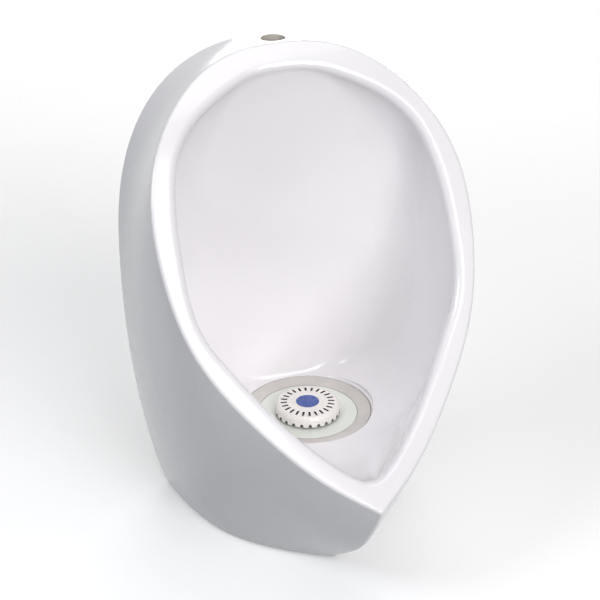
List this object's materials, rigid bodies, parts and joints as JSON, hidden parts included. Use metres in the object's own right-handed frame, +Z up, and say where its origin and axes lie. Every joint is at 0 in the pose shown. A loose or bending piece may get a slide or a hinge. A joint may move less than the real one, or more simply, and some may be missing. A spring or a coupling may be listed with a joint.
{
  "type": "wall hung urinal",
  "caption": "Wall hung waterless urinal: pear shaped ceramic bowl with a pointed lip, a trap cartridge that turns and lifts out, drain housing, outlet pipe and wall fixings.",
  "frame": {"origin": "on the wall, midway between the four hanger screws", "axes": "+X to the right of someone facing the wall, +Y into the wall, +Z up"},
  "size_m": [0.3412, 0.3778, 0.5274],
  "materials": {
    "glazed_ceramic": "clear glossy glaze",
    "black_rubber": "matt",
    "beige_plastic": "fine satin moulding",
    "white_plastic": "smooth moulding",
    "dish_plastic": "smooth moulding, faintly green",
    "blue_plastic": "smooth, plain",
    "grey_plastic": "satin moulding",
    "zinc_steel": "zinc plated"
  },
  "bodies": {
    "urinal": {"ceramic_body": "glazed_ceramic", "inlet_plug": "black_rubber", "drain_housing": "beige_plastic", "housing_gasket": "black_rubber", "housing_washer": "white_plastic", "lock_nut": "grey_plastic", "outlet_pipe": "grey_plastic", "outlet_seal": "black_rubber", "outlet_nut": "grey_plastic", "wall_seal": "black_rubber", "left_hanger": "zinc_steel", "right_hanger": "zinc_steel", "hanger_pads": "black_rubber", "hanger_screws": "zinc_steel", "anchor_screws": "zinc_steel", "anchor_washers": "zinc_steel", "anchor_caps": "white_plastic"},
    "seals": {"upper_seal": "black_rubber", "lower_seal": "black_rubber"},
    "trap": {"trap_dish": "dish_plastic", "trap_cup": "white_plastic", "standpipe": "white_plastic", "trap_bell": "white_plastic", "trap_cap": "white_plastic", "cap_disc": "blue_plastic"}
  },
  "joints": [
    {"name": "trap_lift", "type": "slide", "parent": "urinal", "child": "seals", "axis": [0, 0, 1], "range_m": [0, 0.11]},
    {"name": "trap_turn", "type": "hinge", "parent": "seals", "child": "trap", "pos_m": [0, -0.124, -0.27], "axis": [0, 0, 1], "continuous": true}
  ]
}
